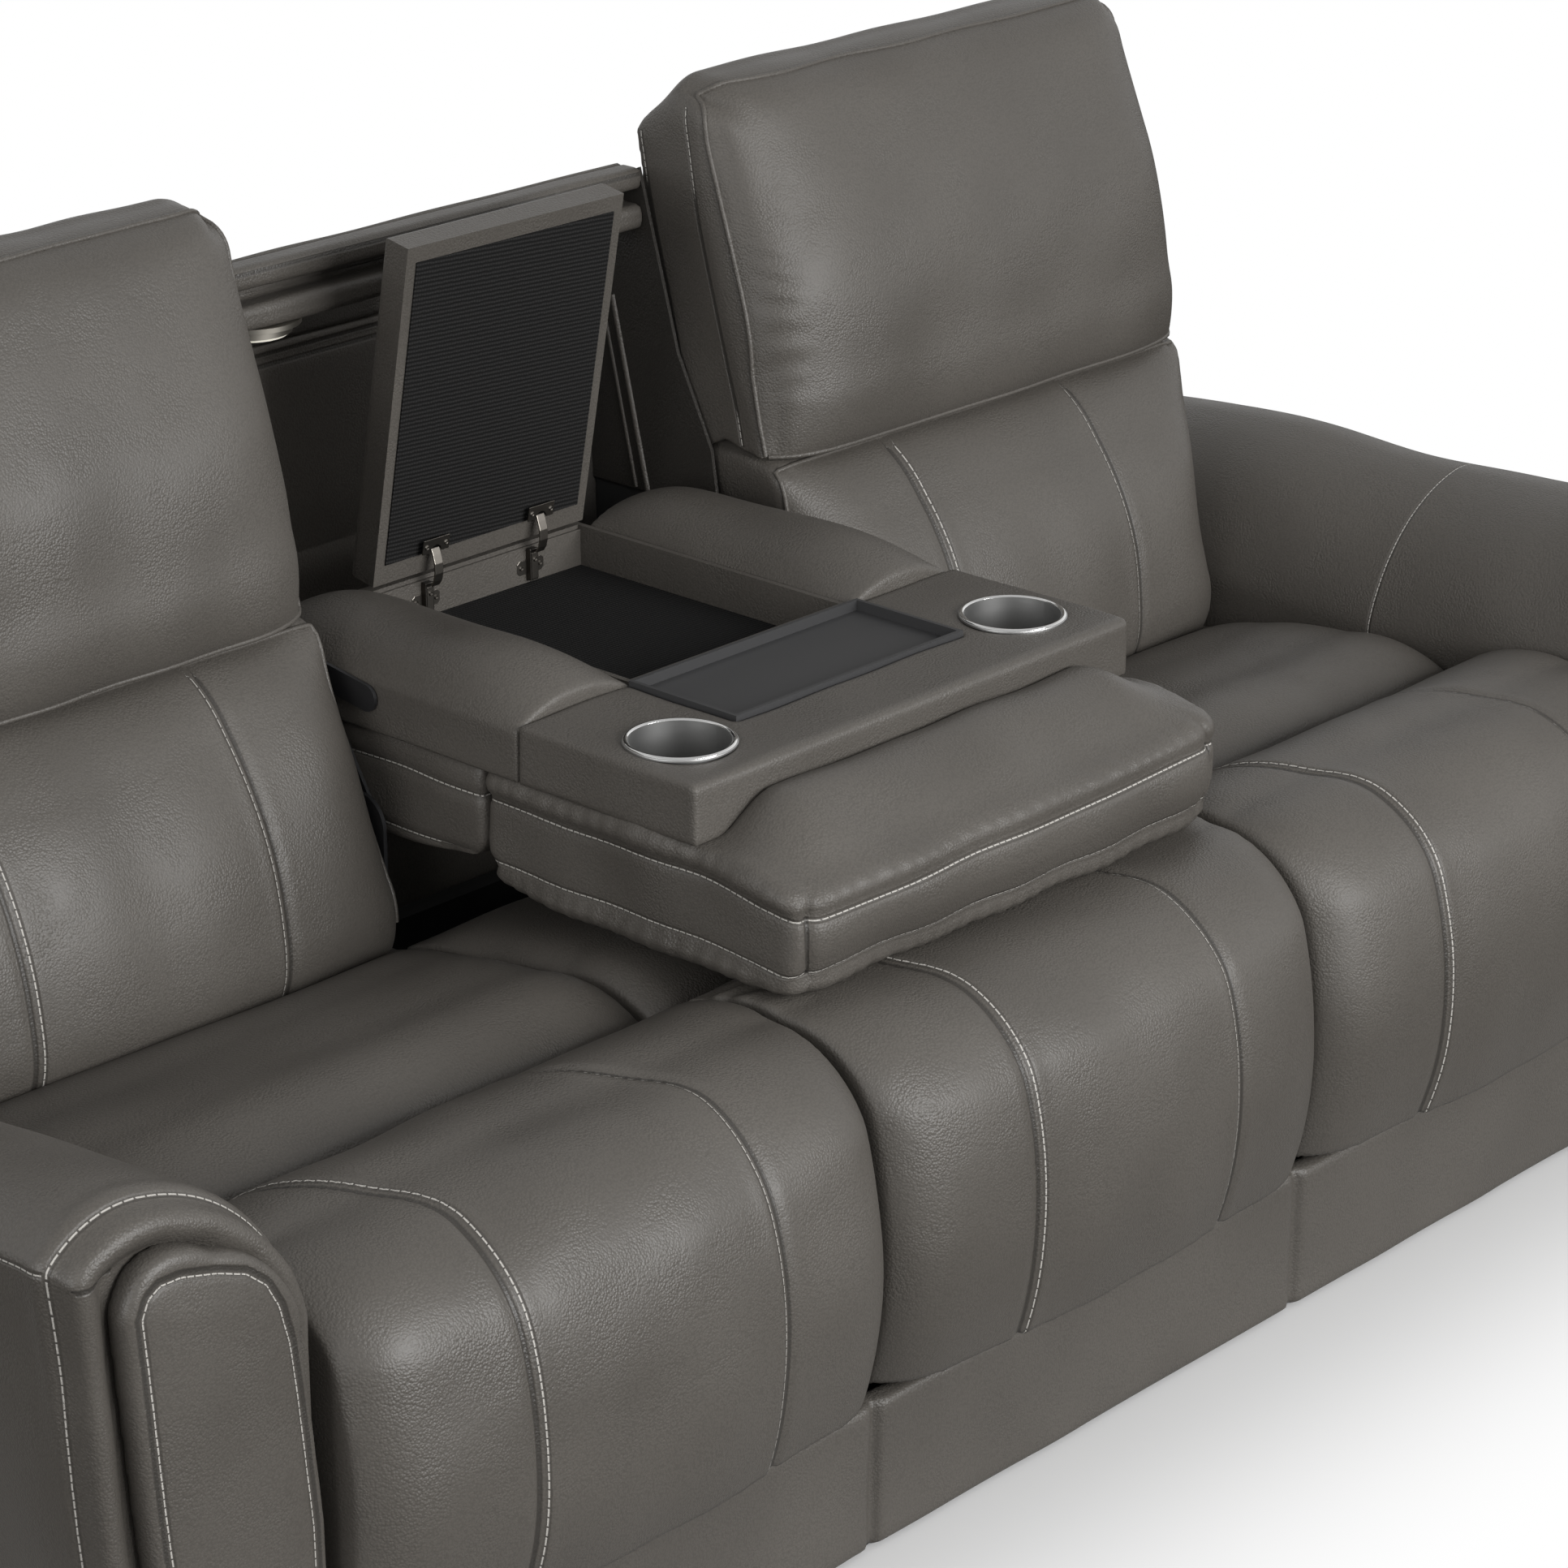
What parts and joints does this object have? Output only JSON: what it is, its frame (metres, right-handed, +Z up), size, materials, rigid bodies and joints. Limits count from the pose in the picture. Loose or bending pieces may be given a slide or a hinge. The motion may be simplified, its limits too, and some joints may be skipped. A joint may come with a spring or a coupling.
{
  "type": "power reclining sofa",
  "caption": "Leather sofa with power recliners, tilting headrests and a middle back that folds down into a table with cup holders and a lidded box.",
  "frame": {"origin": "centre of the footprint on the floor", "axes": "+X along the width to the sitter's left, -Y the way the sofa faces, +Z up"},
  "size_m": [2.2766, 1.0898, 1.0492],
  "materials": {
    "leather": "semi-matte pebbled leather",
    "plywood": "raw plywood",
    "black_steel": "black powder coat",
    "zinc_steel": "zinc plated",
    "nickel": "polished nickel",
    "cup_steel": "brushed stainless",
    "black_plastic": "fine texture",
    "grey_plastic": "fine texture",
    "ribbed_fabric": "fine ribbed cloth",
    "lens": "frosted"
  },
  "bodies": {
    "base": {"front_base_rail": "plywood", "rear_base_rail": "plywood", "floor_glides": "black_plastic", "front_skirts": "leather", "bay_dividers": "black_steel", "mechanism_tracks": "black_steel", "recline_actuators": "zinc_steel", "left_arm": "leather", "right_arm": "leather", "arm_frames": "plywood", "arm_front_pads": "leather", "switch_plates": "black_plastic", "middle_seat_deck": "plywood", "middle_seat_cushion": "leather", "middle_front_roll": "leather", "bay_stiles": "leather", "rear_panel": "leather", "header_bar": "leather", "rear_top_rail": "leather", "light_housings": "nickel", "light_lenses": "lens", "power_inlet": "black_plastic"},
    "left_seat": {"left_seat_frame": "black_steel", "left_seat_cushion": "leather"},
    "left_back": {"left_back_frame": "plywood", "left_back_shell": "leather", "left_back_cushion": "leather"},
    "left_headrest": {"left_headrest_frame": "plywood", "left_headrest": "leather"},
    "left_footrest_links": {"left_footrest_links": "black_steel"},
    "left_footrest": {"left_footrest_board": "plywood", "left_footrest_pad": "leather"},
    "right_seat": {"right_seat_frame": "black_steel", "right_seat_cushion": "leather"},
    "right_back": {"right_back_frame": "plywood", "right_back_shell": "leather", "right_back_cushion": "leather"},
    "right_headrest": {"right_headrest_frame": "plywood", "right_headrest": "leather"},
    "right_footrest_links": {"right_footrest_links": "black_steel"},
    "right_footrest": {"right_footrest_board": "plywood", "right_footrest_pad": "leather"},
    "table": {"table_board": "plywood", "table_head_cushion": "leather", "table_lumbar_cushion": "leather", "cup_block": "leather", "cup_holders": "cup_steel", "tray": "grey_plastic", "storage_box": "leather", "well_mat": "ribbed_fabric", "armrest_pads": "leather", "pivot_arms": "black_steel", "hinge_bases": "nickel"},
    "lid": {"lid_panel": "leather", "lid_liner": "ribbed_fabric", "hinge_leaves": "nickel"},
    "left_recline_rocker": {"left_recline_rocker": "black_plastic"},
    "left_headrest_rocker": {"left_headrest_rocker": "black_plastic"},
    "right_recline_rocker": {"right_recline_rocker": "black_plastic"},
    "right_headrest_rocker": {"right_headrest_rocker": "black_plastic"}
  },
  "joints": [
    {"name": "left_seat_slide", "type": "slide", "parent": "base", "child": "left_seat", "axis": [0, -1, 0], "range_m": [0, 0.09]},
    {"name": "left_back_recline", "type": "hinge", "parent": "left_seat", "child": "left_back", "pos_m": [-0.603, 0.183, 0.346], "axis": [-1, 0, 0], "range_deg": [0, 38.05]},
    {"name": "left_headrest_tilt", "type": "hinge", "parent": "left_back", "child": "left_headrest", "pos_m": [-0.603, 0.215, 0.716], "axis": [1, 0, 0], "range_deg": [0, 28]},
    {"name": "left_link_swing", "type": "hinge", "parent": "left_seat", "child": "left_footrest_links", "pos_m": [-0.603, -0.219, 0.18], "axis": [1, 0, 0], "range_deg": [0, 39.25]},
    {"name": "left_footrest_lift", "type": "hinge", "parent": "left_footrest_links", "child": "left_footrest", "pos_m": [-0.603, -0.32, 0.39], "axis": [-1, 0, 0], "range_deg": [0, 119.3]},
    {"name": "right_seat_slide", "type": "slide", "parent": "base", "child": "right_seat", "axis": [0, -1, 0], "range_m": [0, 0.09]},
    {"name": "right_back_recline", "type": "hinge", "parent": "right_seat", "child": "right_back", "pos_m": [0.603, 0.183, 0.346], "axis": [-1, 0, 0], "range_deg": [0, 38.05]},
    {"name": "right_headrest_tilt", "type": "hinge", "parent": "right_back", "child": "right_headrest", "pos_m": [0.603, 0.215, 0.716], "axis": [1, 0, 0], "range_deg": [0, 28]},
    {"name": "right_link_swing", "type": "hinge", "parent": "right_seat", "child": "right_footrest_links", "pos_m": [0.603, -0.219, 0.18], "axis": [1, 0, 0], "range_deg": [0, 39.25]},
    {"name": "right_footrest_lift", "type": "hinge", "parent": "right_footrest_links", "child": "right_footrest", "pos_m": [0.603, -0.32, 0.39], "axis": [-1, 0, 0], "range_deg": [0, 119.3]},
    {"name": "table_fold", "type": "hinge", "parent": "base", "child": "table", "pos_m": [0, 0.144, 0.512], "axis": [-1, 0, 0], "range_deg": [0, 100]},
    {"name": "lid_shut", "type": "hinge", "parent": "table", "child": "lid", "pos_m": [0, 0.3005, 0.657], "axis": [1, 0, 0], "range_deg": [0, 79.5]},
    {"name": "left_recline_rocker_press", "type": "hinge", "parent": "base", "child": "left_recline_rocker", "pos_m": [-1.12564, -0.22, 0.48], "axis": [0, 1, 0], "range_deg": [-6, 6], "stiffness_Nm_per_rad": 0.05},
    {"name": "left_headrest_rocker_press", "type": "hinge", "parent": "base", "child": "left_headrest_rocker", "pos_m": [-1.12564, -0.16, 0.48], "axis": [0, 1, 0], "range_deg": [-6, 6], "stiffness_Nm_per_rad": 0.05},
    {"name": "right_recline_rocker_press", "type": "hinge", "parent": "base", "child": "right_recline_rocker", "pos_m": [1.12564, -0.22, 0.48], "axis": [0, 1, 0], "range_deg": [-6, 6], "stiffness_Nm_per_rad": 0.05},
    {"name": "right_headrest_rocker_press", "type": "hinge", "parent": "base", "child": "right_headrest_rocker", "pos_m": [1.12564, -0.16, 0.48], "axis": [0, 1, 0], "range_deg": [-6, 6], "stiffness_Nm_per_rad": 0.05}
  ],
  "couplings": [
    {"joint": "left_back_recline", "follows": "left_seat_slide", "rad_per_m": 7.3692},
    {"joint": "left_link_swing", "follows": "left_seat_slide", "rad_per_m": 7.6019},
    {"joint": "left_footrest_lift", "follows": "left_seat_slide", "rad_per_m": 23.116},
    {"joint": "right_back_recline", "follows": "right_seat_slide", "rad_per_m": 7.3692},
    {"joint": "right_link_swing", "follows": "right_seat_slide", "rad_per_m": 7.6019},
    {"joint": "right_footrest_lift", "follows": "right_seat_slide", "rad_per_m": 23.116},
    {"joint": "lid_shut", "follows": "table_fold", "ratio": 0.794}
  ]
}
